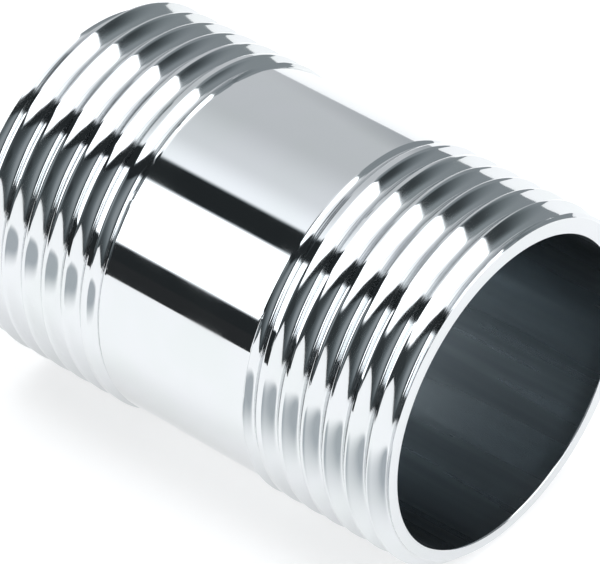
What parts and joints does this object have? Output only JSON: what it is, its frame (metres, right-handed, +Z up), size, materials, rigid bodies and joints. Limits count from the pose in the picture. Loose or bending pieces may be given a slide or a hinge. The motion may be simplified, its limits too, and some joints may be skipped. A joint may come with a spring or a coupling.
{
  "type": "barrel nipple",
  "caption": "Short round pipe nipple with a smooth barrel, a plain through bore and a parallel male pipe thread on each end.",
  "frame": {"origin": "middle of the nipple, on its axis, halfway between the two end faces", "axes": "+X along the nipple's axis, +Z up as it lies on its side; either end may be +X"},
  "size_m": [0.0464, 0.033, 0.033],
  "materials": {
    "chrome": "bright chrome plate over machined brass, mirror smooth on the barrel with faint turning marks in the threads and a slightly satin bore"
  },
  "bodies": {
    "root": {"nipple_body": "chrome"}
  },
  "joints": []
}
